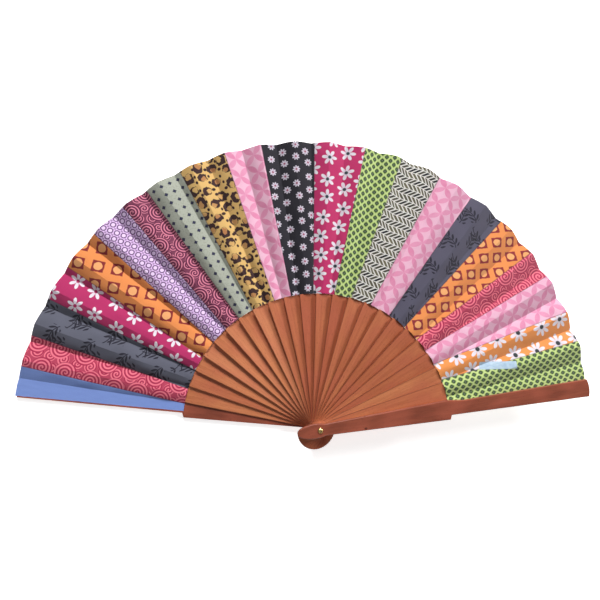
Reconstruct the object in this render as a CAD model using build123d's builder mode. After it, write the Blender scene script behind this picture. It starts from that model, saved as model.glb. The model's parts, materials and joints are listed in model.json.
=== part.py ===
"""Folding hand fan: two guards and 22 ribs stacked on one rivet, with a pleated cloth leaf.

The open fan lies flat. +Z is the rivet's axis and the origin is where that axis meets the back
face of the rear guard. The leaf opens towards +Y, the rear guard points to -X and the front guard
to +X. Sizes are in millimetres and angles in degrees, counted from +X towards +Y.
"""

import os
from math import cos, radians, sin

from build123d import *

# Layout of the sticks: number 0 is the rear guard, 1 to 22 are the ribs, 23 is the front guard.
INNER_RIBS = 22
FRONT = INNER_RIBS + 1
PITCH_ANGLE = 7.16
MIDDLE_STICK = FRONT / 2

# Radii from the rivet's axis.
TIP_RADIUS = 213.5
SLIP_TIP_RADIUS = 211.5
GORGE_RADIUS = 98.0
SLIP_ROOT_RADIUS = 96.0
LEAF_ROOT_RADIUS = 98.6

# Thicknesses and levels of the stack.
GUARD_THICKNESS = 2.6
RIB_THICKNESS = 0.9
RIB_LEVEL_STEP = 1.0
FIRST_RIB_LEVEL = 2.7
FRONT_GUARD_LEVEL = FIRST_RIB_LEVEL + INNER_RIBS * RIB_LEVEL_STEP
SLIP_THICKNESS = 0.5
CLOTH_THICKNESS = 0.15
FREE_FOLD_LIFT = 0.72
GUARD_REBATE = 0.4
FLAP_REBATE = 0.3

# A stick's head, neck and blade. Its own frame has +Y along the stick and +X clockwise of it.
HEAD_HALF_WIDTH = 5.1
HEAD_HALF_LENGTH = 12.5
HEAD_CENTRE = -4.0
NECK_HALF_WIDTH = 3.9
RIB_HALF_WIDTH = 7.3
GUARD_HALF_WIDTH = 7.15
GUARD_STEP = 3.2
GUARD_INNER_STEP = 1.8
GUARD_STEP_LENGTH = 1.4
GUARD_INNER_STEP_LENGTH = 12.0
GUARD_TIP_BULGE = 1.1
GUARD_EDGE_CHAMFER = 0.4

# The slip carries the leaf. A facet starts a little counterclockwise of the stick's line.
FACET_LEAD = 1.12
FACET_ANGLE = PITCH_ANGLE / 2
FACET_MIDDLE = FACET_LEAD - FACET_ANGLE / 2
SLIP_ROOT_WIDTH = 5.6
SLIP_TIP_WIDTH = 9.0

# The rivet, of brass wire, with a domed front head and a tail peened flush with the rear guard.
PIN_RADIUS = 1.0
HOLE_RADIUS = 1.05
HEAD_RADIUS = 2.0
HEAD_HEIGHT = 1.1
HEAD_CLEARANCE = 0.1
TAIL_RADIUS = 2.0
TAIL_DEPTH = 0.7


def stick_angle(number):
    """Direction of a stick in the open fan."""
    return 90 + (MIDDLE_STICK - number) * PITCH_ANGLE


def stick_plane(number, level):
    """Plane at a level, with +Y along the stick and +X to its clockwise side."""
    return Plane.XY.offset(level).rotated((0, 0, stick_angle(number) - 90))


def rib_level(number):
    """Height of a rib's back face."""
    return FIRST_RIB_LEVEL + (number - 1) * RIB_LEVEL_STEP


def on_ray(radius, lead):
    """Point at a radius, on the ray a lead angle counterclockwise of the stick's line."""
    return (-radius * sin(radians(lead)), radius * cos(radians(lead)))


def blade_outline(left, right):
    """Head and blade up to the gorge, where the edges are left and right of the line."""
    with Locations((0, HEAD_CENTRE)):
        Ellipse(HEAD_HALF_WIDTH, HEAD_HALF_LENGTH)
    with BuildLine() as edge:
        Polyline(
            (-NECK_HALF_WIDTH, 0),
            (-left, GORGE_RADIUS),
            (right, GORGE_RADIUS),
            (NECK_HALF_WIDTH, 0),
            close=True,
        )
    make_face(edge.edges())


def slip_outline():
    """Narrow slip beyond the gorge, under the middle of the glued facet."""
    root = on_ray(SLIP_ROOT_RADIUS, FACET_MIDDLE)
    tip = on_ray(SLIP_TIP_RADIUS, FACET_MIDDLE)
    with BuildLine() as edge:
        Polyline(
            (root[0] - SLIP_ROOT_WIDTH / 2, root[1]),
            (tip[0] - SLIP_TIP_WIDTH / 2, tip[1]),
            (tip[0] + SLIP_TIP_WIDTH / 2, tip[1]),
            (root[0] + SLIP_ROOT_WIDTH / 2, root[1]),
            close=True,
        )
    make_face(edge.edges())


def facet_outline(lead):
    """One flat panel of the leaf, from a lead angle to one facet clockwise of it."""
    with BuildLine() as edge:
        Polyline(
            on_ray(LEAF_ROOT_RADIUS, lead),
            on_ray(TIP_RADIUS, lead),
            on_ray(TIP_RADIUS, lead - FACET_ANGLE),
            on_ray(LEAF_ROOT_RADIUS, lead - FACET_ANGLE),
            close=True,
        )
    make_face(edge.edges())


def guard_blade_outline():
    """Head and blade of a guard, whose blade is centred under the leaf's facets."""
    middle = on_ray(GORGE_RADIUS, FACET_MIDDLE)[0]
    blade_outline(GUARD_HALF_WIDTH - middle, GUARD_HALF_WIDTH + middle)


def guard_panel_outline(side):
    """Upper part of a guard, stepped in at the gorge and bowed at its end.

    The outer edge is counterclockwise if side is -1, and clockwise if it is 1.
    """
    middle = on_ray(GORGE_RADIUS, FACET_MIDDLE)[0]
    outer_root = middle + side * (GUARD_HALF_WIDTH - GUARD_STEP)
    inner_root = middle - side * (GUARD_HALF_WIDTH - GUARD_INNER_STEP)
    end_left = on_ray(TIP_RADIUS, FACET_LEAD)
    end_right = on_ray(TIP_RADIUS, FACET_LEAD - FACET_ANGLE)
    outer_tip, inner_tip = (end_right, end_left) if side > 0 else (end_left, end_right)
    bow = on_ray(TIP_RADIUS + GUARD_TIP_BULGE, FACET_MIDDLE)
    with BuildLine() as edge:
        Polyline(
            inner_tip,
            (inner_root, GORGE_RADIUS + GUARD_INNER_STEP_LENGTH),
            (middle - side * GUARD_HALF_WIDTH, GORGE_RADIUS),
            (middle + side * GUARD_HALF_WIDTH, GORGE_RADIUS),
            (outer_root, GORGE_RADIUS + GUARD_STEP_LENGTH),
            outer_tip,
        )
        ThreePointArc(outer_tip, bow, inner_tip)
    make_face(edge.edges())


os.makedirs("parts", exist_ok=True)

# Rear guard: the lower part is full height, and its panel is rebated in front for the leaf.
with BuildPart() as rear_guard:
    with BuildSketch(stick_plane(0, 0)):
        guard_blade_outline()
        guard_panel_outline(-1)
    extrude(amount=GUARD_THICKNESS - GUARD_REBATE)
    with BuildSketch(stick_plane(0, GUARD_THICKNESS - GUARD_REBATE)):
        guard_blade_outline()
    extrude(amount=GUARD_REBATE)
    chamfer(rear_guard.faces().sort_by(Axis.Z)[0].edges(), GUARD_EDGE_CHAMFER)
    with Locations((0, 0, GUARD_THICKNESS)):
        Hole(PIN_RADIUS)
    with Locations(Plane.XY):
        Cylinder(
            TAIL_RADIUS,
            TAIL_DEPTH,
            align=(Align.CENTER, Align.CENTER, Align.MIN),
            mode=Mode.SUBTRACT,
        )
rear_guard.part.label = "rear_guard"
export_step(rear_guard.part, "parts/rear_guard.step")

# Front guard: like the rear one turned over, with its rebate behind, for the leaf's end flap.
with BuildPart() as front_guard:
    with BuildSketch(stick_plane(FRONT, FRONT_GUARD_LEVEL + FLAP_REBATE)):
        guard_blade_outline()
        guard_panel_outline(1)
    extrude(amount=GUARD_THICKNESS - FLAP_REBATE)
    with BuildSketch(stick_plane(FRONT, FRONT_GUARD_LEVEL)):
        guard_blade_outline()
    extrude(amount=FLAP_REBATE)
    chamfer(front_guard.faces().sort_by(Axis.Z)[-1].edges(), GUARD_EDGE_CHAMFER)
    with Locations((0, 0, FRONT_GUARD_LEVEL + GUARD_THICKNESS)):
        Hole(HOLE_RADIUS)
front_guard.part.label = "front_guard"
export_step(front_guard.part, "parts/front_guard.step")

# Ribs: a thin blade, a thinner slip, and the leaf facet that is glued on the slip's front.
for number in range(1, FRONT):
    level = rib_level(number)
    with BuildPart() as rib:
        with BuildSketch(stick_plane(number, level)):
            blade_outline(RIB_HALF_WIDTH, RIB_HALF_WIDTH)
        extrude(amount=RIB_THICKNESS)
        with BuildSketch(stick_plane(number, level)):
            slip_outline()
        extrude(amount=SLIP_THICKNESS)
        with Locations((0, 0, level + RIB_THICKNESS)):
            Hole(HOLE_RADIUS)
    with BuildPart() as facet:
        with BuildSketch(stick_plane(number, level + SLIP_THICKNESS)):
            facet_outline(FACET_LEAD)
        extrude(amount=CLOTH_THICKNESS)
    rib_with_facet = Compound(children=[rib.part, facet.part])
    rib_with_facet.label = f"rib_{number:02d}"
    export_step(rib_with_facet, f"parts/rib_{number:02d}.step")

# Free folds: the panel between one stick's glued facet and the next stick's.
for number in range(FRONT):
    below = rib_level(number)
    with BuildPart() as free_fold:
        with BuildSketch(stick_plane(number, below + FREE_FOLD_LIFT)):
            facet_outline(FACET_LEAD - FACET_ANGLE)
        extrude(amount=CLOTH_THICKNESS)
    free_fold.part.label = f"free_fold_{number:02d}"
    export_step(free_fold.part, f"parts/free_fold_{number:02d}.step")

# The leaf's two ends, glued on the front of the rear guard and behind the front guard.
with BuildPart() as first_facet:
    with BuildSketch(stick_plane(0, GUARD_THICKNESS - GUARD_REBATE)):
        facet_outline(FACET_LEAD)
    extrude(amount=CLOTH_THICKNESS)
first_facet.part.label = "leaf_first_facet"
export_step(first_facet.part, "parts/leaf_first_facet.step")

with BuildPart() as end_flap:
    with BuildSketch(stick_plane(FRONT, FRONT_GUARD_LEVEL + FLAP_REBATE - CLOTH_THICKNESS)):
        facet_outline(FACET_LEAD)
    extrude(amount=CLOTH_THICKNESS)
end_flap.part.label = "leaf_end_flap"
export_step(end_flap.part, "parts/leaf_end_flap.step")

# Rivet: a lentil-shaped head in front, the pin, and the peened tail in the rear guard's recess.
head_level = FRONT_GUARD_LEVEL + GUARD_THICKNESS + HEAD_CLEARANCE
with BuildPart() as rivet:
    with BuildSketch(Plane.XZ):
        with BuildLine():
            Polyline(
                (0, head_level + HEAD_HEIGHT),
                (0, 0),
                (TAIL_RADIUS, 0),
                (TAIL_RADIUS, TAIL_DEPTH),
                (PIN_RADIUS, TAIL_DEPTH),
                (PIN_RADIUS, head_level),
                (HEAD_RADIUS, head_level),
            )
            RadiusArc(
                (HEAD_RADIUS, head_level),
                (0, head_level + HEAD_HEIGHT),
                -(HEAD_RADIUS**2 + HEAD_HEIGHT**2) / (2 * HEAD_HEIGHT),
            )
        make_face()
    revolve(axis=Axis.Z)
rivet.part.label = "rivet"
export_step(rivet.part, "parts/rivet.step")
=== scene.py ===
"""Folding hand fan, open: varnished wooden sticks, a brass rivet and a pleated patchwork leaf.

Lengths are in millimetres in the script and become metres when a mesh is made. Angles are in
degrees, counted from +X towards +Y about the rivet's axis, which is +Z through the origin.
"""

import json
from math import cos, hypot, pi, radians, sin, sqrt

import bmesh
import bpy
from mathutils import Matrix, Vector


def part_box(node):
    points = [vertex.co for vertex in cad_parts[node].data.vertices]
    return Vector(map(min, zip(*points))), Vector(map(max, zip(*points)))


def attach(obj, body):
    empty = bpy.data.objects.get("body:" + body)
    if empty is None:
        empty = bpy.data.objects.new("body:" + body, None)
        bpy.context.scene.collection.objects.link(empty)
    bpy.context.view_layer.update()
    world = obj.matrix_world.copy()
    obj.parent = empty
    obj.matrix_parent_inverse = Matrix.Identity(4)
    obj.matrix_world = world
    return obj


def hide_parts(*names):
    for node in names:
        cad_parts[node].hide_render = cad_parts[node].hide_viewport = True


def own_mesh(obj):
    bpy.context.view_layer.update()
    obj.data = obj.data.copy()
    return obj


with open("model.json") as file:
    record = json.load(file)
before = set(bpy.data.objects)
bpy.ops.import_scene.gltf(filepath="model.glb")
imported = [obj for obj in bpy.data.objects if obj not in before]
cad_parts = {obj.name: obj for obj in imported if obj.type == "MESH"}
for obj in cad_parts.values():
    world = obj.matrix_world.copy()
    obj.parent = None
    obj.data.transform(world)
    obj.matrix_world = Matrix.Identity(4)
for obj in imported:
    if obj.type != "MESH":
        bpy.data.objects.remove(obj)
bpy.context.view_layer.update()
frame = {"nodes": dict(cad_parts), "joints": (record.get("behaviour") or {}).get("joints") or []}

MM = 0.001

# ---------------------------------------------------------------- layout, read from the frame
MASTER = "fan_fold"
CLOSING_ANGLE = [j for j in frame["joints"] if j["name"] == MASTER][0]["range_deg"][1]
RIBS = len([n for n in frame["nodes"] if n.startswith("rib_")])
FRONT = RIBS + 1
PITCH = CLOSING_ANGLE / FRONT
MIDDLE_STICK = FRONT / 2

# Radii about the rivet's axis.
TIP_RADIUS = 213.5
GORGE_RADIUS = 98.0
SLIP_TIP_RADIUS = 211.5
LEAF_ROOT_RADIUS = 98.6
BLADE_END_RADIUS = 98.58

# The ribs.
RIB_THICKNESS = 0.9
SLIP_THICKNESS = 0.5
RIB_HALF_WIDTH = 7.3
NECK_HALF_WIDTH = 3.9
HEAD_HALF_WIDTH = 5.1
HEAD_HALF_LENGTH = 12.5
HEAD_CENTRE = -4.0
HOLE_RADIUS = 1.05
SHOULDER_END = 101.0
SHOULDER_BOTTOM = 0.05
SHOULDER_TOP = 0.36
SLIP_ROOT_WIDTH = 5.6
SLIP_TIP_WIDTH = 9.0
BLADE_TWIST = 8.5
TWIST_START = 8.0
TWIST_FULL = 65.0
THINNING = 0.25
THINNING_START = 12.0
THINNING_FULL = 50.0
SOFT_EDGE = 0.14

FACET_ANGLE = PITCH / 2
# Each stick's facet of the leaf starts this far counterclockwise of the stick.
FACET_LEAD = 1.12
FACET_MIDDLE = FACET_LEAD - FACET_ANGLE / 2

# The leaf. It starts just short of the rear guard's edge, and hangs over that guard's end.
LEAF_EDGE = 173.2
OVERHANG = 1.3
OVERHANG_START = 167.0
OVERHANG_FULL = 171.0
CLOTH_THICKNESS = 0.16
VALLEY_LIFT = 0.08
MOUNTAIN_ROOT = 1.7
MOUNTAIN_TIP = 4.2
FIRST_MOUNTAIN = 0.75
GLUED_BOW = 0.3
FREE_BOW = 0.5
PANEL_LENGTHS = 40
PANEL_WIDTHS = 6
SHEET_SPARE = 1.01


def stick_angle(number):
    """Direction of a stick: 0 is the rear guard, FRONT is the front guard."""
    return 90 + (MIDDLE_STICK - number) * PITCH


def level(node):
    """Height of a node's lowest face."""
    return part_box(node)[0].z / MM


# Height of the face that each stick's facet is glued on.
slip_tops = [level("leaf_first_facet")]
slip_tops += [level(f"rib_{number:02d}") + SLIP_THICKNESS for number in range(1, FRONT)]
slip_tops += [level("leaf_end_flap")]


# ---------------------------------------------------------------- shader arithmetic
def srgb(red, green, blue):
    """Linear colour from display values of 0 to 255."""
    def linear(value):
        value /= 255
        return value / 12.92 if value <= 0.04045 else ((value + 0.055) / 1.055) ** 2.4

    return (linear(red), linear(green), linear(blue), 1.0)


class Field:
    """A number that varies over a surface; arithmetic on it adds Math nodes to its material."""

    def __init__(self, tree, socket):
        self.tree = tree
        self.socket = socket

    def math(self, operation, *others):
        node = self.tree.nodes.new("ShaderNodeMath")
        node.operation = operation
        for slot, value in zip(node.inputs, (self, *others)):
            if isinstance(value, Field):
                self.tree.links.new(value.socket, slot)
            else:
                slot.default_value = value
        return Field(self.tree, node.outputs[0])

    def __add__(self, other):
        return self.math("ADD", other)

    def __sub__(self, other):
        return self.math("SUBTRACT", other)

    def __mul__(self, other):
        return self.math("MULTIPLY", other)

    def __truediv__(self, other):
        return self.math("DIVIDE", other)

    def __neg__(self):
        return self * -1

    def __abs__(self):
        return self.math("ABSOLUTE")

    def power(self, exponent):
        return self.math("POWER", exponent)

    def floor(self):
        return self.math("FLOOR")

    def fraction(self):
        return self.math("FRACT")

    def odd(self):
        """1 where this whole number is odd."""
        return (self * 0.5).fraction() * 2

    def larger(self, other):
        return self.math("MAXIMUM", other)

    def smaller(self, other):
        return self.math("MINIMUM", other)

    def below(self, limit, soft=0.08):
        """1 where this is under the limit, with an edge as wide as soft."""
        ramp = (self - limit) * (-1 / soft) + 0.5
        return ramp.larger(0.0).smaller(1.0)

    def above(self, limit, soft=0.08):
        ramp = (self - limit) * (1 / soft) + 0.5
        return ramp.larger(0.0).smaller(1.0)


def length(x, y):
    return (x * x + y * y).power(0.5)


def direction(x, y):
    return y.math("ARCTAN2", x)


def rotated(x, y, angle):
    c, s = cos(radians(angle)), sin(radians(angle))
    return x * c + y * s, y * c - x * s


def vector(x, y, z=0.0):
    """Vector socket of up to three fields."""
    node = x.tree.nodes.new("ShaderNodeCombineXYZ")
    for slot, value in zip(node.inputs, (x, y, z)):
        if isinstance(value, Field):
            x.tree.links.new(value.socket, slot)
        else:
            slot.default_value = value
    return node.outputs[0]


def noise(x, y, size, detail=2.0, offset=0.0):
    """Smooth noise from 0 to 1 with features about as large as size."""
    node = x.tree.nodes.new("ShaderNodeTexNoise")
    node.noise_dimensions = "3D"
    node.inputs["Scale"].default_value = 1.0
    node.inputs["Detail"].default_value = detail
    x.tree.links.new(vector(x / size, y / size, offset), node.inputs["Vector"])
    return Field(x.tree, node.outputs["Fac"])


def scatter(column, row, seed=0.0):
    """Three numbers from 0 to 1 that belong to a cell."""
    node = column.tree.nodes.new("ShaderNodeTexWhiteNoise")
    node.noise_dimensions = "3D"
    column.tree.links.new(vector(column, row, seed), node.inputs["Vector"])
    split = column.tree.nodes.new("ShaderNodeSeparateColor")
    column.tree.links.new(node.outputs["Color"], split.inputs["Color"])
    return [Field(column.tree, out) for out in split.outputs]


def mixed(tree, factor, first, second):
    """Colour socket that goes from first to second; each is a colour or a socket."""
    node = tree.nodes.new("ShaderNodeMix")
    node.data_type = "RGBA"
    for name, value in (("Factor", factor), ("A", first), ("B", second)):
        slots = [s for s in node.inputs if s.name == name and s.enabled]
        if isinstance(value, Field):
            tree.links.new(value.socket, slots[0])
        elif isinstance(value, bpy.types.NodeSocket):
            tree.links.new(value, slots[0])
        else:
            slots[0].default_value = value
    return [s for s in node.outputs if s.enabled][0]


def staggered(x, y, width, height, jitter=0.0):
    """Cells in columns, every other one half a cell up: place in the cell, and its numbers."""
    column = (x / width).floor()
    lifted = y + column.odd() * (height / 2)
    row = (lifted / height).floor()
    numbers = scatter(column, row)
    local_x = ((x / width).fraction() - 0.5) * width - (numbers[0] - 0.5) * (2 * jitter)
    local_y = ((lifted / height).fraction() - 0.5) * height - (numbers[1] - 0.5) * (2 * jitter)
    return local_x, local_y, numbers


# ---------------------------------------------------------------- prints of the patchwork
# Each takes a tree and a place on the cloth in millimetres, and returns a colour.
WHITE = srgb(238, 232, 240)


def plain(tree, x, y):
    streak = noise(x, y * 0.15, 2.0)
    return mixed(tree, streak, srgb(124, 150, 220), srgb(138, 166, 234))


def spiral_discs(x, y, radius, gap, share):
    """Discs in staggered rows, each with a spiral line: where the lines and the discs are."""
    local_x, local_y, numbers = staggered(x, y, radius * 2.06, radius * 2.3, radius * 0.14)
    distance = length(local_x, local_y)
    turn = direction(local_x, local_y) / (2 * pi) + numbers[2]
    wave = abs((distance / gap - turn).fraction() - 0.5)
    inside = (distance - (numbers[0] * 0.12 + 0.94) * radius).below(0.0, 0.3)
    return wave.below(share, 0.14), inside


def spirals(tree, x, y, ground, line, share, radius, gap):
    """Large spiral discs lying over small ones, on a ground flecked with a little of the line."""
    lines, discs = spiral_discs(x + 3.0, y + 1.0, radius * 0.56, gap * 0.86, share)
    between = mixed(tree, share * share * 3, ground, line)
    colour = mixed(tree, discs, between, mixed(tree, lines, ground, line))
    lines, discs = spiral_discs(x, y, radius, gap, share)
    return mixed(tree, discs, colour, mixed(tree, lines, ground, line))


def flowers(tree, x, y, ground, petal, eye, spacing, radius, petals, eye_radius, slim=1.1):
    """Flowers in staggered rows; slim is larger for narrower petals."""
    local_x, local_y, numbers = staggered(x, y, spacing, spacing * 1.12, spacing * 0.1)
    distance = length(local_x, local_y)
    angle = direction(local_x, local_y) + numbers[2] * 6
    lobe = abs((angle * (petals / 2)).math("COSINE")).power(slim)
    inside = (distance - (lobe * 0.82 + 0.18) * radius).below(0.0, 0.4)
    shaded = mixed(tree, (distance / radius).below(0.55, 0.8) * 0.5, petal, srgb(204, 186, 206))
    colour = mixed(tree, inside, ground, shaded)
    return mixed(tree, distance.below(eye_radius, 0.4), colour, eye)


def framed_squares(tree, x, y, turn, ground, outline, filling, spacing, cover=0.31):
    """Squares with a round middle, drawn with a shaky hand."""
    x, y = rotated(x, y, turn)
    local_x = ((x / spacing).fraction() - 0.5) * spacing
    local_y = ((y / spacing).fraction() - 0.5) * spacing
    edge = abs(local_x).larger(abs(local_y))
    wobble = (noise(x, y, 2.5, 1.0) - 0.5) * 0.9
    colour = mixed(tree, (edge + wobble).below(spacing * cover, 0.25), ground, outline)
    inside = (length(local_x, local_y) + wobble).below(spacing * 0.225, 0.25)
    return mixed(tree, inside, colour, filling)


def ring_grid(tree, x, y, ground, line):
    """Rings in a square grid, with a small cross between each four."""
    spacing = 4.8
    x, y = rotated(x, y, 27.0)
    local_x = ((x / spacing).fraction() - 0.5) * spacing
    local_y = ((y / spacing).fraction() - 0.5) * spacing
    distance = length(local_x, local_y)
    ring = abs(distance - 1.72).below(0.36, 0.22)
    corner_x = abs(local_x) - spacing / 2
    corner_y = abs(local_y) - spacing / 2
    cross = abs(abs(corner_x) - abs(corner_y)).below(0.26, 0.2) * length(corner_x, corner_y).below(1.2)
    cloth = mixed(tree, distance.below(1.5, 0.3), ground, srgb(234, 208, 242))
    return mixed(tree, ring.larger(cross * 0.8), cloth, line)


def diamonds(tree, x, y, ground, mark):
    """Small diamonds on speckled cloth."""
    local_x = ((x / 6.5).fraction() - 0.5) * 6.5
    local_y = ((y / 6.7).fraction() - 0.5) * 6.7
    speckle = noise(x, y, 1.2, 3.0)
    cloth = mixed(tree, speckle.above(0.56, 0.1) * 0.35, ground, srgb(128, 134, 122))
    return mixed(tree, (abs(local_x) + abs(local_y)).below(1.55, 0.3), cloth, mark)


def leopard(tree, x, y):
    """Broken rosettes with brown middles, and loose spots between them."""
    local_x, local_y, numbers = staggered(x, y, 8.8, 10.2, 1.1)
    angle = direction(local_x, local_y)
    distance = length(local_x, local_y * (numbers[1] * 0.4 + 0.75))
    path = (noise(x, y, 2.4, 1.0) - 0.5) * 3.0 + 2.6
    thickness = (angle + numbers[0] * 6).math("COSINE") * 0.75 + 0.82
    ring = (abs(distance - path) - thickness).below(0.0, 0.3)
    middle = (distance - path).below(-0.4, 0.8) * (numbers[2] * 0.9)
    cloth = mixed(tree, middle, srgb(226, 184, 112), srgb(172, 106, 64))
    spot_x, spot_y, marks = staggered(x + 4.4, y + 1.2, 8.8, 5.1, 0.8)
    spot = length(spot_x * (marks[2] * 0.8 + 0.7), spot_y).below(1.15, 0.3)
    return mixed(tree, ring.larger(spot), cloth, srgb(54, 28, 28))


def pink_lattice(tree, x, y):
    """Pointed petals that meet in fours."""
    spacing = 9.6
    x, y = rotated(x, y, 45.0)
    across = abs((x / spacing).fraction() - 0.5)
    along = abs((y / spacing).fraction() - 0.5)

    def reach(first, second):
        return length(first, second).below(sqrt(0.5), 0.03)

    upright = reach(across + 0.5, -along + 0.5)
    level_petal = reach(-across + 0.5, along + 0.5)
    blotch = noise(x, y, 5.0, 2.0) * 0.5 + 0.5
    colour = mixed(tree, noise(x, y, 9.0), srgb(242, 196, 216), srgb(232, 172, 198))
    colour = mixed(tree, upright * blotch, colour, srgb(222, 122, 164))
    return mixed(tree, level_petal * blotch, colour, srgb(228, 138, 176))


def daisies(tree, x, y):
    petal = srgb(214, 206, 220)
    return flowers(tree, x, y, srgb(24, 24, 34), petal, srgb(150, 76, 100), 8.8, 2.8, 8, 0.8, 0.45)


def herringbone(tree, x, y):
    """Rows of slanting bars, each row leaning the other way."""
    row_height = 4.5
    step = 3.3
    row = y / row_height
    lean = row.floor().odd() * 2 - 1
    within = row.fraction() - 0.5
    slide = (x + within * lean * 4.4) / step
    bar = abs(slide.fraction() - 0.5).below(0.33, 0.08) * abs(within).below(0.44, 0.05)
    tone = (lean + 1) * 0.24 + scatter(slide.floor(), row.floor())[0] * 0.4
    dark = mixed(tree, tone, srgb(30, 30, 36), srgb(116, 110, 84))
    return mixed(tree, bar, srgb(230, 228, 222), dark)


def florets(tree, x, y):
    """Four-lobed florets, each in a pale diamond."""
    width, height = 2.9, 5.7
    x, y = rotated(x, y, 8.0)
    local_x, local_y, _ = staggered(x, y, width, height)
    distance = length(local_x, local_y)
    lobe = abs((direction(local_x, local_y) * 2).math("COSINE"))
    inside = (distance - (lobe * 0.3 + 0.7) * 1.6).below(0.0, 0.3)
    border = (abs(local_x) / width + abs(local_y) / (height / 2)).above(0.82, 0.14)
    colour = mixed(tree, border * 0.8, srgb(144, 178, 70), srgb(212, 226, 156))
    colour = mixed(tree, inside, colour, srgb(60, 80, 62))
    return mixed(tree, distance.below(0.35, 0.3) * 0.6, colour, srgb(140, 160, 110))


def twigs(x, y, width, height, turn, reach):
    """Bent stems with pairs of pointed leaves, one in each cell."""
    local_x, local_y, numbers = staggered(x, y, width, height, 1.2)
    local_x, local_y = rotated(local_x, local_y, turn)
    side = local_x + (local_y * 0.25).math("SINE") * 1.6
    stem = abs(side).below(0.34, 0.2) * abs(local_y).below(reach, 0.4)
    gap = 3.7
    place = (local_y - abs(side) * 1.1) / gap + numbers[2]
    from_middle = abs(side) - 2.1
    width_here = (from_middle * from_middle * -0.28 + 1.1).larger(0.0)
    leaf = (abs((place.fraction() - 0.5) * gap) - width_here).below(0.0, 0.25)
    leaf = leaf * abs(from_middle).below(1.95, 0.2) * abs(local_y).below(reach - 1.0, 0.5)
    keep = scatter(place.floor(), side.above(0.0, 0.01), 3.0)[0].above(0.3, 0.02)
    return stem.larger(leaf * keep)


def sprigs(tree, x, y, dark, light):
    """Dark twigs of two sizes on clouded cloth."""
    marks = twigs(x, y, 17.0, 26.0, 58.0, 9.5).larger(twigs(x + 2.0, y + 5.0, 17.0, 26.0, -6.0, 6.5))
    cloth = mixed(tree, noise(x, y, 26.0, 2.0), dark, light)
    return mixed(tree, marks * 0.97, cloth, srgb(26, 26, 40))


def slate_sprigs(tree, x, y):
    return sprigs(tree, x, y, srgb(84, 86, 98), srgb(102, 104, 120))


def dusk_sprigs(tree, x, y):
    return sprigs(tree, x, y, srgb(74, 72, 88), srgb(92, 90, 110))


def crimson_spirals(tree, x, y):
    return spirals(tree, x, y, srgb(174, 38, 76), srgb(242, 122, 142), 0.25, 7.4, 2.3)


def plum_spirals(tree, x, y):
    return spirals(tree, x, y, srgb(96, 26, 62), srgb(224, 132, 156), 0.19, 6.6, 2.0)


def magenta_flowers(tree, x, y):
    return flowers(tree, x, y, srgb(184, 40, 100), WHITE, srgb(176, 36, 96), 14.4, 5.8, 6, 1.3)


def magenta_stars(tree, x, y):
    return flowers(tree, x, y, srgb(194, 40, 102), WHITE, srgb(44, 56, 66), 13.0, 5.8, 6, 1.3, 0.9)


def orange_tilted(tree, x, y):
    return framed_squares(
        tree, x, y, 29.0, srgb(236, 144, 78), srgb(134, 36, 38), srgb(238, 168, 108), 13.3
    )


def orange_diamonds(tree, x, y):
    return framed_squares(
        tree, x, y, 54.0, srgb(238, 146, 78), srgb(142, 40, 46), srgb(242, 172, 108), 11.6, 0.33
    )


def lilac_rings(tree, x, y):
    return ring_grid(tree, x, y, srgb(226, 192, 236), srgb(88, 44, 106))


def grey_diamonds(tree, x, y):
    return diamonds(tree, x, y, srgb(172, 176, 162), srgb(44, 46, 72))


def orange_flowers(tree, x, y):
    return flowers(tree, x, y, srgb(240, 150, 78), WHITE, srgb(46, 52, 56), 16.0, 7.3, 8, 1.7, 0.7)


# The patches, from the rear guard to the front guard. Each is named with the directions in which
# it ends at the leaf's outer edge and at its inner edge.
LEAF_START = (174.6, 175.2)
PATCHES = (
    (plain, 167.5, 170.0),
    (crimson_spirals, 161.5, 163.5),
    (slate_sprigs, 154.0, 155.0),
    (magenta_flowers, 147.0, 149.0),
    (orange_tilted, 139.0, 141.0),
    (lilac_rings, 131.5, 133.0),
    (plum_spirals, 126.0, 126.0),
    (grey_diamonds, 118.5, 119.0),
    (leopard, 109.0, 109.0),
    (pink_lattice, 101.5, 101.5),
    (daisies, 90.5, 91.5),
    (magenta_stars, 80.0, 82.5),
    (florets, 72.0, 75.0),
    (herringbone, 63.0, 66.0),
    (pink_lattice, 55.0, 56.5),
    (dusk_sprigs, 47.0, 48.0),
    (orange_diamonds, 38.0, 40.5),
    (crimson_spirals, 32.0, 34.5),
    (pink_lattice, 23.5, 27.5),
    (orange_flowers, 17.0, 20.0),
    (florets, 3.0, 4.0),
)


def at(radius, angle):
    """Point in plan, in millimetres."""
    return Vector((radius * cos(radians(angle)), radius * sin(radians(angle))))


class Patch:
    """One wedge of printed cloth, with its edges in plan and its own straight grain."""

    def __init__(self, number):
        starts = LEAF_START if number == 0 else PATCHES[number - 1][1:]
        self.print, *ends = PATCHES[number]
        self.number = number
        self.far_corner = at(TIP_RADIUS, ends[0])
        self.near_corner = at(LEAF_ROOT_RADIUS, ends[1])
        self.origin = at(LEAF_ROOT_RADIUS, (starts[1] + ends[1]) / 2)
        self.along = (at(TIP_RADIUS, (starts[0] + ends[0]) / 2) - self.origin).normalized()
        self.across = Vector((self.along.y, -self.along.x))

    def past_end(self, point):
        """Distance beyond the patch's last edge, clockwise."""
        edge = (self.far_corner - self.near_corner).normalized()
        offset = point - self.near_corner
        return edge.y * offset.x - edge.x * offset.y

    def place(self, point):
        """Where a point in plan lies on the patch, in millimetres across and along."""
        offset = point - self.origin
        return offset.dot(self.across), offset.dot(self.along)


patches = [Patch(number) for number in range(len(PATCHES))]

# A blank woven label, sewn flat across the seam between two patches.
LABEL_PATCHES = (19, 20)
LABEL_MIDDLE = Vector((137.8, 44.3))
LABEL_TURN = 1.4
LABEL_LENGTH = 29.0
LABEL_WIDTH = 5.6


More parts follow.
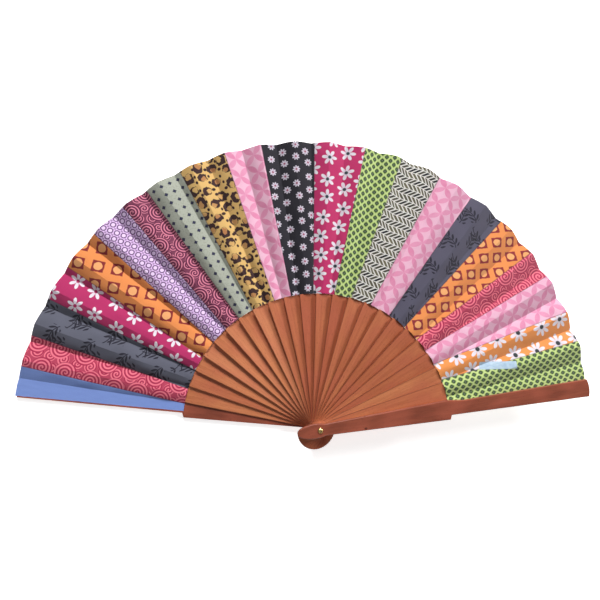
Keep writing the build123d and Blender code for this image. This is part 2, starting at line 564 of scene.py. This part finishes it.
def label_cover(patch, x, y):
    """1 where the label lies on a patch."""
    middle_x, middle_y = patch.place(LABEL_MIDDLE)
    lengthwise = at(1.0, LABEL_TURN)
    from_x, from_y = x - middle_x, y - middle_y
    c, s = lengthwise.dot(patch.across), lengthwise.dot(patch.along)
    inside = abs(from_x * c + from_y * s).below(LABEL_LENGTH / 2, 0.5)
    return inside * abs(from_y * c - from_x * s).below(LABEL_WIDTH / 2, 0.5)


# ---------------------------------------------------------------- materials
def new_material(name, roughness, specular=0.5):
    material = bpy.data.materials.new(name)
    material.use_nodes = True
    shader = material.node_tree.nodes["Principled BSDF"]
    shader.inputs["Roughness"].default_value = roughness
    shader.inputs["Specular IOR Level"].default_value = specular
    return material, material.node_tree, shader


def add_bump(tree, shader, height, depth):
    """Surface relief of up to depth millimetres."""
    bump = tree.nodes.new("ShaderNodeBump")
    bump.inputs["Strength"].default_value = 1.0
    bump.inputs["Distance"].default_value = depth * MM
    tree.links.new(height.socket, bump.inputs["Height"])
    tree.links.new(bump.outputs["Normal"], shader.inputs["Normal"])


# The cloth's texture coordinates are hundredths of its place on its patch in millimetres.
UV_NAME = "cloth_mm"
UV_SCALE = 0.01


def object_place(tree):
    """Place in an object's own X and Y, in millimetres."""
    place = tree.nodes.new("ShaderNodeTexCoord")
    split = tree.nodes.new("ShaderNodeSeparateXYZ")
    tree.links.new(place.outputs["Object"], split.inputs[0])
    return Field(tree, split.outputs[0]) / MM, Field(tree, split.outputs[1]) / MM


def attribute(tree, name):
    node = tree.nodes.new("ShaderNodeAttribute")
    node.attribute_name = name
    return Field(tree, node.outputs["Fac"])


def cloth_material(patch):
    """Printed cotton: its print in front, the same print showing paler behind, weave and seams."""
    material, tree, shader = new_material(f"cloth_{patch.number:02d}", 0.82, 0.25)
    shader.inputs["Sheen Weight"].default_value = 0.25
    shader.inputs["Sheen Roughness"].default_value = 0.5
    uv = tree.nodes.new("ShaderNodeUVMap")
    uv.uv_map = UV_NAME
    split = tree.nodes.new("ShaderNodeSeparateXYZ")
    tree.links.new(uv.outputs[0], split.inputs[0])
    x = Field(tree, split.outputs[0]) / UV_SCALE
    y = Field(tree, split.outputs[1]) / UV_SCALE
    colour = patch.print(tree, x, y)
    behind = attribute(tree, "behind")
    colour = mixed(tree, behind * 0.5, colour, srgb(214, 206, 204))
    thread = 0.42  # from one thread to the next
    warp = (x * (2 * pi / thread)).math("SINE")
    weft = (y * (2 * pi / thread)).math("SINE")
    weave = warp * weft
    fibre = noise(x, y, 0.7, 3.0)
    seam = attribute(tree, "seam")
    stitch = seam.below(0.3, 0.3)
    shade = (fibre - 0.5) * 0.16 + weave * 0.03 + 0.1
    colour = mixed(tree, shade.larger(0.0), colour, srgb(60, 50, 60))
    colour = mixed(tree, stitch * 0.45, colour, srgb(70, 50, 56))
    if patch.number in LABEL_PATCHES:
        label = mixed(tree, noise(x, y, 3.0, 3.0), srgb(132, 164, 194), srgb(200, 218, 230))
        colour = mixed(tree, label_cover(patch, x, y) * (-behind + 1.0), colour, label)
    tree.links.new(colour, shader.inputs["Base Color"])
    pucker = (noise(x * 0.4, y, 1.6, 2.0) - 0.5) * seam.below(3.0, 4.0)
    height = weave * 0.12 + fibre * 0.35 + pucker * 0.9 - stitch * 0.8
    add_bump(tree, shader, height, 0.12)
    return material


def wood_material(name, light, dark, turn=0.0, seed=0.0, polish=0.46, knot=None, edges=False):
    """Fine straight-grained wood under satin varnish, with its grain along the stick.

    With edges, painted shade darkens the two long edges of a rib's blade, standing in for the shadow
    in the gaps between neighbouring blades.
    """
    material, tree, shader = new_material(name, polish, 0.3)
    x, y = object_place(tree)
    if turn:
        x, y = rotated(x, y, turn)
    wander = (noise(x, y, 40.0, 1.0, seed) - 0.5) * 5
    grain = noise(x + wander, y * 0.035, 1.5, 5.0, seed + 3)
    fine = noise(x + wander, y * 0.05, 0.42, 3.0, seed + 7)
    cloud = noise(x, y * 0.3, 16.0, 2.0, seed + 11)
    pores = noise(x, y * 0.12, 0.3, 1.0, seed + 5).above(0.66, 0.06)
    tone = grain * 0.8 + fine * 0.5 + cloud * 0.8 - 0.55
    colour = mixed(tree, tone.larger(0.0).smaller(1.0), dark, light)
    flush = noise(x, y * 0.4, 9.0, 1.0, seed + 17).above(0.52, 0.3)
    colour = mixed(tree, flush * 0.4, colour, srgb(184, 96, 74))
    # Dark tone for the pores and the knot, also used as the colour of the painted edge shade.
    deep_tone_and_shade = tuple(0.45 * c for c in dark[:3]) + (1.0,)
    colour = mixed(tree, pores * 0.35, colour, deep_tone_and_shade)
    if knot:
        from_knot = length(x - knot[0], (y - knot[1]) * 0.7)
        colour = mixed(tree, from_knot.below(0.75, 0.5) * 0.85, colour, deep_tone_and_shade)
    # Painted shade along the blade's long edges, for the shadow between neighbouring blades.
    if edges:
        blade_half_width = y * ((RIB_HALF_WIDTH - NECK_HALF_WIDTH) / GORGE_RADIUS) + NECK_HALF_WIDTH
        edge_shade = (blade_half_width - abs(x)).below(0.45, 0.5) * y.above(8.0, 8.0)
        colour = mixed(tree, edge_shade * 0.75, colour, deep_tone_and_shade)
    tree.links.new(colour, shader.inputs["Base Color"])
    rough = fine * 0.16 + (polish - 0.06)
    tree.links.new(rough.socket, shader.inputs["Roughness"])
    add_bump(tree, shader, grain * 0.5 + fine * 0.4 - pores * 0.7, 0.05)
    return material


def brass_material():
    """Polished brass with a little tarnish."""
    material, tree, shader = new_material("brass", 0.22)
    shader.inputs["Metallic"].default_value = 1.0
    x, y = object_place(tree)
    tarnish = noise(x, y, 0.9, 4.0)
    colour = mixed(tree, tarnish, srgb(214, 178, 104), srgb(240, 214, 150))
    tree.links.new(colour, shader.inputs["Base Color"])
    tree.links.new((tarnish * 0.22 + 0.12).socket, shader.inputs["Roughness"])
    add_bump(tree, shader, noise(x, y, 0.25, 2.0), 0.012)
    return material


cloths = [cloth_material(patch) for patch in patches]


# ---------------------------------------------------------------- meshes
def new_piece(name, mesh):
    piece = bpy.data.objects.new(name, mesh)
    bpy.context.scene.collection.objects.link(piece)
    return piece


def bevelled(piece, width, segments=2):
    """Rounds a piece's hard edges."""
    modifier = piece.modifiers.new("soft_edges", "BEVEL")
    modifier.width = width * MM
    modifier.segments = segments
    modifier.limit_method = "ANGLE"
    modifier.angle_limit = radians(50)
    modifier.harden_normals = True


def prism(form, outline, bottom, top):
    """Closed prism on an outline of points in plan, in a bmesh."""
    low = [form.verts.new((x * MM, y * MM, bottom * MM)) for x, y in outline]
    high = [form.verts.new((x * MM, y * MM, top * MM)) for x, y in outline]
    form.faces.new(list(reversed(low)))
    form.faces.new(high)
    for index in range(len(outline)):
        after = (index + 1) % len(outline)
        form.faces.new((low[index], low[after], high[after], high[index]))


def rib_half_width(y):
    """Half the width of a rib's head and blade at a distance along it."""
    from_centre = (y - HEAD_CENTRE) / HEAD_HALF_LENGTH
    head = HEAD_HALF_WIDTH * sqrt(max(0.0, 1 - from_centre**2))
    blade = NECK_HALF_WIDTH + (RIB_HALF_WIDTH - NECK_HALF_WIDTH) * y / GORGE_RADIUS
    return max(head, blade) if y >= 0 else head


def rib_outline():
    """Head and blade of a rib, counterclockwise, along +Y."""
    tail = HEAD_CENTRE - HEAD_HALF_LENGTH
    neck = 12.0
    steps = 26
    heights = [tail + (neck - tail) * (1 - cos(pi * k / steps)) / 2 for k in range(1, steps)]
    heights += [neck, 30.0, 55.0, 80.0, GORGE_RADIUS - 1.0]
    right = [(rib_half_width(y), y) for y in heights]
    right += [(x, sqrt(BLADE_END_RADIUS**2 - x * x)) for x in (RIB_HALF_WIDTH - 0.6, 5.0, 2.5)]
    left = [(-x, y) for x, y in reversed(right)]
    return [(0.0, tail)] + right + left


def root_arc(*places):
    """Points on the leaf's inner edge, at places across a stick."""
    return [(x, sqrt(LEAF_ROOT_RADIUS**2 - x * x)) for x in places]


def slip_outline():
    """The slip, which leans towards the middle of its facet."""
    lean = sin(radians(-FACET_MIDDLE))
    root_x, tip_x = lean * LEAF_ROOT_RADIUS, lean * SLIP_TIP_RADIUS
    half_root, half_tip = SLIP_ROOT_WIDTH / 2, SLIP_TIP_WIDTH / 2
    outline = root_arc(root_x - half_root, root_x, root_x + half_root)
    return outline + [(tip_x + half_tip, SLIP_TIP_RADIUS), (tip_x - half_tip, SLIP_TIP_RADIUS)]


def shoulder_outline():
    """The blade's wide shoulders, which run on for a little way under the leaf."""
    neck = SHOULDER_END + 3
    outline = root_arc(-5.3, -2.6, 0.0, 2.6, 5.0, 6.8)
    return outline + [(6.8, SHOULDER_END), (3.6, neck), (-1.2, neck), (-5.3, SHOULDER_END)]


def rib_mesh():
    """A rib's wood, along +Y from the rivet's axis, with its hole cut through."""
    form = bmesh.new()
    prism(form, rib_outline(), 0.0, RIB_THICKNESS)
    prism(form, slip_outline(), 0.0, SLIP_THICKNESS)
    prism(form, shoulder_outline(), SHOULDER_BOTTOM, SHOULDER_TOP)
    mesh = bpy.data.meshes.new("rib_wood")
    form.to_mesh(mesh)
    form.free()
    cutter_form = bmesh.new()
    turns = [2 * pi * k / 32 for k in range(32)]
    circle = [(HOLE_RADIUS * cos(turn), HOLE_RADIUS * sin(turn)) for turn in turns]
    prism(cutter_form, circle, -1.0, RIB_THICKNESS + 1.0)
    cutter_mesh = bpy.data.meshes.new("hole")
    cutter_form.to_mesh(cutter_mesh)
    cutter_form.free()
    rib, cutter = new_piece("rib_pattern", mesh), new_piece("hole_cutter", cutter_mesh)
    cut = rib.modifiers.new("hole", "BOOLEAN")
    cut.object = cutter
    cut.solver = "EXACT"
    depsgraph = bpy.context.evaluated_depsgraph_get()
    result = bpy.data.meshes.new_from_object(rib.evaluated_get(depsgraph))
    bpy.data.objects.remove(rib)
    bpy.data.objects.remove(cutter)
    form = bmesh.new()
    form.from_mesh(result)
    # Lines across the blade, so that it bends smoothly when it is twisted.
    for station in range(12, 106, 4):
        everything = form.verts[:] + form.edges[:] + form.faces[:]
        place = (0, station * MM, 0)
        bmesh.ops.bisect_plane(form, geom=everything, dist=1e-7, plane_co=place, plane_no=(0, 1, 0))
    form.to_mesh(result)
    form.free()
    return result


def smooth_step(value, start, end):
    """0 before start, 1 after end, with an even curve between."""
    share = min(1.0, max(0.0, (value - start) / (end - start)))
    return share * share * (3 - 2 * share)


def rib_twist(number):
    """How far the stretched leaf twists a blade, in degrees; least beside the guards."""
    return BLADE_TWIST * min(1.0, (number - 0.3) / 5, (FRONT - number - 0.3) / 5)


def twist_blade(mesh, angle):
    """Thins a rib's blade and lifts its left edge; its head and its slip stay flat."""
    middle = RIB_THICKNESS / 2
    for vertex in mesh.vertices:
        x, y, z = (value / MM for value in vertex.co)
        if hypot(x, y) > BLADE_END_RADIUS + 0.01:
            continue
        turn = radians(angle * smooth_step(y, TWIST_START, TWIST_FULL))
        z = (z - middle) * (1 - THINNING * smooth_step(y, THINNING_START, THINNING_FULL))
        x, z = x * cos(turn) + z * sin(turn), z * cos(turn) - x * sin(turn)
        vertex.co = (x * MM, y * MM, (z + middle) * MM)


# ---------------------------------------------------------------- the sticks
# Light and dark of the grain, from the palest wood to the darkest.
RIB_TONES = (
    (srgb(218, 141, 98), srgb(174, 98, 66)),
    (srgb(214, 136, 91), srgb(169, 93, 59)),
    (srgb(206, 126, 84), srgb(161, 85, 54)),
    (srgb(199, 117, 78), srgb(153, 77, 49)),
    (srgb(190, 106, 70), srgb(144, 69, 43)),
)
# Which of those woods each rib is cut from: paler woods on the rear guard's side and darker ones from
# the middle on, partly the woods' own spread and partly painted light and shade for how the light
# falls across the fan.
RIB_WOODS_AND_SHADE = (1, 2, 1, 0, 1, 0, 1, 0, 2, 3, 4, 3, 4, 2, 3, 2, 3, 3, 2, 3, 1, 2)
GUARD_LIGHT = srgb(156, 84, 61)
GUARD_DARK = srgb(109, 51, 38)

rib_woods = [
    wood_material(f"rib_wood_{k}", light, dark, seed=20.0 * k, edges=True)
    for k, (light, dark) in enumerate(RIB_TONES)
]
rib_pattern = rib_mesh()
for number in range(1, FRONT):
    name = f"rib_{number:02d}"
    mesh = rib_pattern.copy()
    twist_blade(mesh, rib_twist(number))
    mesh.materials.clear()
    mesh.materials.append(rib_woods[RIB_WOODS_AND_SHADE[number - 1]])
    piece = new_piece(f"{name}_wood", mesh)
    bevelled(piece, SOFT_EDGE)
    lift = Matrix.Translation((0, 0, level(name) * MM))
    piece.matrix_world = lift @ Matrix.Rotation(radians(stick_angle(number) - 90), 4, "Z")
    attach(piece, name)
    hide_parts(name)

for name, number in (("rear_guard", 0), ("front_guard", FRONT)):
    wood = wood_material(
        f"{name}_wood",
        GUARD_LIGHT,
        GUARD_DARK,
        turn=stick_angle(number) - 90,
        seed=100.0 + 10 * number,
        polish=0.42,
        knot=(3.9, 33.0) if number == FRONT else None,
    )
    node = frame["nodes"][name]
    node.data.materials.clear()
    node.data.materials.append(wood)

rivet = frame["nodes"]["rivet"]
rivet.data.materials.clear()
rivet.data.materials.append(brass_material())


# ---------------------------------------------------------------- the leaf
def mountain(number, radius):
    """Height of the crease at the counterclockwise edge of a stick's facet."""
    share = (radius - LEAF_ROOT_RADIUS) / (TIP_RADIUS - LEAF_ROOT_RADIUS)
    if number in (0, FRONT):
        return slip_tops[number]
    rise = MOUNTAIN_ROOT + (MOUNTAIN_TIP - MOUNTAIN_ROOT) * share
    if number == 1:
        rise *= FIRST_MOUNTAIN
    wave = 0.16 * sin(0.11 * radius + 2.4 * number) + 0.1 * sin(0.27 * radius + 1.3 * number)
    return slip_tops[number] + rise + wave


def valley(number, radius):
    """Height of the crease at the clockwise edge of a stick's facet."""
    return slip_tops[number] + VALLEY_LIFT


def ripple(angle, radius):
    """Slight unevenness of the cloth, the same for every panel that meets at a place."""
    return 0.5 * sin(0.11 * radius + 0.9 * angle) + 0.5 * sin(0.23 * radius - 0.37 * angle)


def leaf_tip(angle):
    """Radius of the leaf's outer edge, which hangs over the end of the rear guard."""
    reached = (angle - OVERHANG_START) / (OVERHANG_FULL - OVERHANG_START)
    return TIP_RADIUS + OVERHANG * min(1.0, max(0.0, reached))


def panel_mesh(name, start_angle, start_height, end_height, bow):
    """One panel between two creases; the heights are functions of the radius."""
    form = bmesh.new()
    seam = form.verts.layers.float.new("seam")
    behind = form.faces.layers.float.new("behind")
    on_rim = form.faces.layers.int.new("on_rim")
    uv = form.loops.layers.uv.new(UV_NAME)

    def vertex(row, column, drop):
        share = column / PANEL_WIDTHS
        angle = min(start_angle - FACET_ANGLE * share, LEAF_EDGE)
        radius = LEAF_ROOT_RADIUS + (leaf_tip(angle) - LEAF_ROOT_RADIUS) * row / PANEL_LENGTHS
        low, high = start_height(radius), end_height(radius)
        hump = bow * (1 + 0.8 * ripple(angle, radius)) * sin(pi * share)
        height = low + (high - low) * share + hump - drop
        point = at(radius, angle)
        return form.verts.new((point.x * MM, point.y * MM, height * MM))

    def layer(drop):
        return [
            [vertex(row, column, drop) for column in range(PANEL_WIDTHS + 1)]
            for row in range(PANEL_LENGTHS + 1)
        ]

    top, bottom = layer(0.0), layer(CLOTH_THICKNESS)
    for row in range(PANEL_LENGTHS):
        for column in range(PANEL_WIDTHS):
            corners = ((row, column), (row, column + 1), (row + 1, column + 1), (row + 1, column))
            form.faces.new([top[r][c] for r, c in corners])
            back = form.faces.new([bottom[r][c] for r, c in reversed(corners)])
            back[behind] = 1.0
    rim = [(0, c) for c in range(PANEL_WIDTHS)]
    rim += [(r, PANEL_WIDTHS) for r in range(PANEL_LENGTHS)]
    rim += [(PANEL_LENGTHS, c) for c in range(PANEL_WIDTHS, 0, -1)]
    rim += [(r, 0) for r in range(PANEL_LENGTHS, 0, -1)]
    for (r0, c0), (r1, c1) in zip(rim, rim[1:] + rim[:1]):
        rim_face = form.faces.new((top[r1][c1], top[r0][c0], bottom[r0][c0], bottom[r1][c1]))
        rim_face[on_rim] = 1

    for patch in patches[:-1]:
        edge = patch.far_corner - patch.near_corner
        sides = [patch.past_end(Vector(v.co.xy) / MM) for v in form.verts]
        if min(sides) < -0.01 and max(sides) > 0.01:
            bmesh.ops.bisect_plane(
                form,
                geom=form.verts[:] + form.edges[:] + form.faces[:],
                dist=0.0002 * MM,
                plane_co=(patch.near_corner.x * MM, patch.near_corner.y * MM, 0),
                plane_no=(edge.y, -edge.x, 0),
            )
    for v in form.verts:
        point = Vector(v.co.xy) / MM
        v[seam] = min(min(abs(patch.past_end(point)) for patch in patches[:-1]), 6.0)

    used = []
    for face in form.faces:
        middle = Vector(face.calc_center_median().xy) / MM
        patch = next((p for p in patches[:-1] if p.past_end(middle) < 0), patches[-1])
        if patch not in used:
            used.append(patch)
        face.material_index = used.index(patch)
        face.smooth = not face[on_rim]
        for loop in face.loops:
            across, along = patch.place(Vector(loop.vert.co.xy) / MM)
            loop[uv].uv = (across * UV_SCALE, along * UV_SCALE)
    for edge in form.edges:
        edge.smooth = not any(face[on_rim] for face in edge.link_faces)
    bmesh.ops.recalc_face_normals(form, faces=form.faces)
    mesh = bpy.data.meshes.new(name)
    form.to_mesh(mesh)
    form.free()
    for patch in used:
        mesh.materials.append(cloths[patch.number])
    return mesh


def add_panel(name, body, node, start_angle, heights, bow):
    """Adds a panel of cloth that moves with a body and stands for a node."""
    mesh = panel_mesh(name, start_angle, *heights, bow)
    piece = new_piece(name, mesh)
    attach(piece, body)
    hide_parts(node)
    rise = heights[1](TIP_RADIUS) - heights[0](TIP_RADIUS)
    width = hypot(2 * TIP_RADIUS * sin(radians(FACET_ANGLE / 2)), rise) * SHEET_SPARE * MM
    return piece


def glued_facet(number, body, node):
    """Adds the panel that is glued on a stick."""
    heights = (lambda r: mountain(number, r), lambda r: valley(number, r))
    return add_panel(
        f"leaf_glued_{number:02d}",
        body,
        node,
        stick_angle(number) + FACET_LEAD,
        heights,
        0.0 if number in (0, FRONT) else GLUED_BOW,
    )


glued_facet(0, "handle", "leaf_first_facet")
glued_facet(FRONT, "front_guard", "leaf_end_flap")
for number in range(1, FRONT):
    facet = glued_facet(number, f"rib_{number:02d}", f"rib_{number:02d}")
    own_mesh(facet)

for number in range(FRONT):
    fold = add_panel(
        f"leaf_fold_{number:02d}",
        f"fold_{number:02d}",
        f"free_fold_{number:02d}",
        stick_angle(number) + FACET_LEAD - FACET_ANGLE,
        (lambda r, n=number: valley(n, r), lambda r, n=number: mountain(n + 1, r)),
        FREE_BOW,
    )
    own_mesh(fold)


# ---------------------------------------------------------------- floor, light and camera
def add_floor():
    """White floor that glows a little, so that the fan's shadow on it stays faint."""
    size = 3.0
    form = bmesh.new()
    bmesh.ops.create_grid(form, x_segments=1, y_segments=1, size=size)
    mesh = bpy.data.meshes.new("floor")
    form.to_mesh(mesh)
    form.free()
    floor = new_piece("floor", mesh)
    floor.location.z = -0.3 * MM
    material, _, shader = new_material("floor", 0.9, 0.1)
    shader.inputs["Base Color"].default_value = srgb(246, 246, 246)
    shader.inputs["Emission Color"].default_value = (1.0, 1.0, 1.0, 1.0)
    shader.inputs["Emission Strength"].default_value = 0.68
    mesh.materials.append(material)


def add_area_light(name, place, target, size, power):
    data = bpy.data.lights.new(name, "AREA")
    data.size = size
    data.energy = power
    light = bpy.data.objects.new(name, data)
    light.location = place
    light.rotation_euler = (Vector(target) - Vector(place)).to_track_quat("-Z", "Y").to_euler()
    bpy.context.scene.collection.objects.link(light)


def add_lights():
    middle = (0.0, 0.1, 0.0)
    add_area_light("upper_light", (-0.126, 1.535, 0.78), middle, 0.35, 27)
    add_area_light("side_light", (1.247, 0.82, 0.78), middle, 0.35, 19)
    add_area_light("fill", (-0.6, 0.0, 1.4), middle, 1.2, 2)
    world = bpy.data.worlds.new("studio")
    world.use_nodes = True
    world.node_tree.nodes["Background"].inputs["Color"].default_value = (1.0, 1.0, 1.0, 1.0)
    world.node_tree.nodes["Background"].inputs["Strength"].default_value = 0.15
    bpy.context.scene.world = world


def add_camera():
    """Looks down on the open fan from close above its left half."""
    data = bpy.data.cameras.new("camera")
    data.lens = 27.0
    data.sensor_width = 36.0
    data.clip_start = 10 * MM
    camera = bpy.data.objects.new("camera", data)
    place = Matrix.Translation(Vector((-59.4, 76.3, 346.0)) * MM)
    lean = Matrix.Rotation(radians(-7.97), 4, "Y") @ Matrix.Rotation(radians(2.95), 4, "X")
    camera.matrix_world = place @ lean
    bpy.context.scene.collection.objects.link(camera)
    bpy.context.scene.camera = camera


add_floor()
add_lights()
add_camera()
bpy.context.scene.view_settings.view_transform = "Standard"
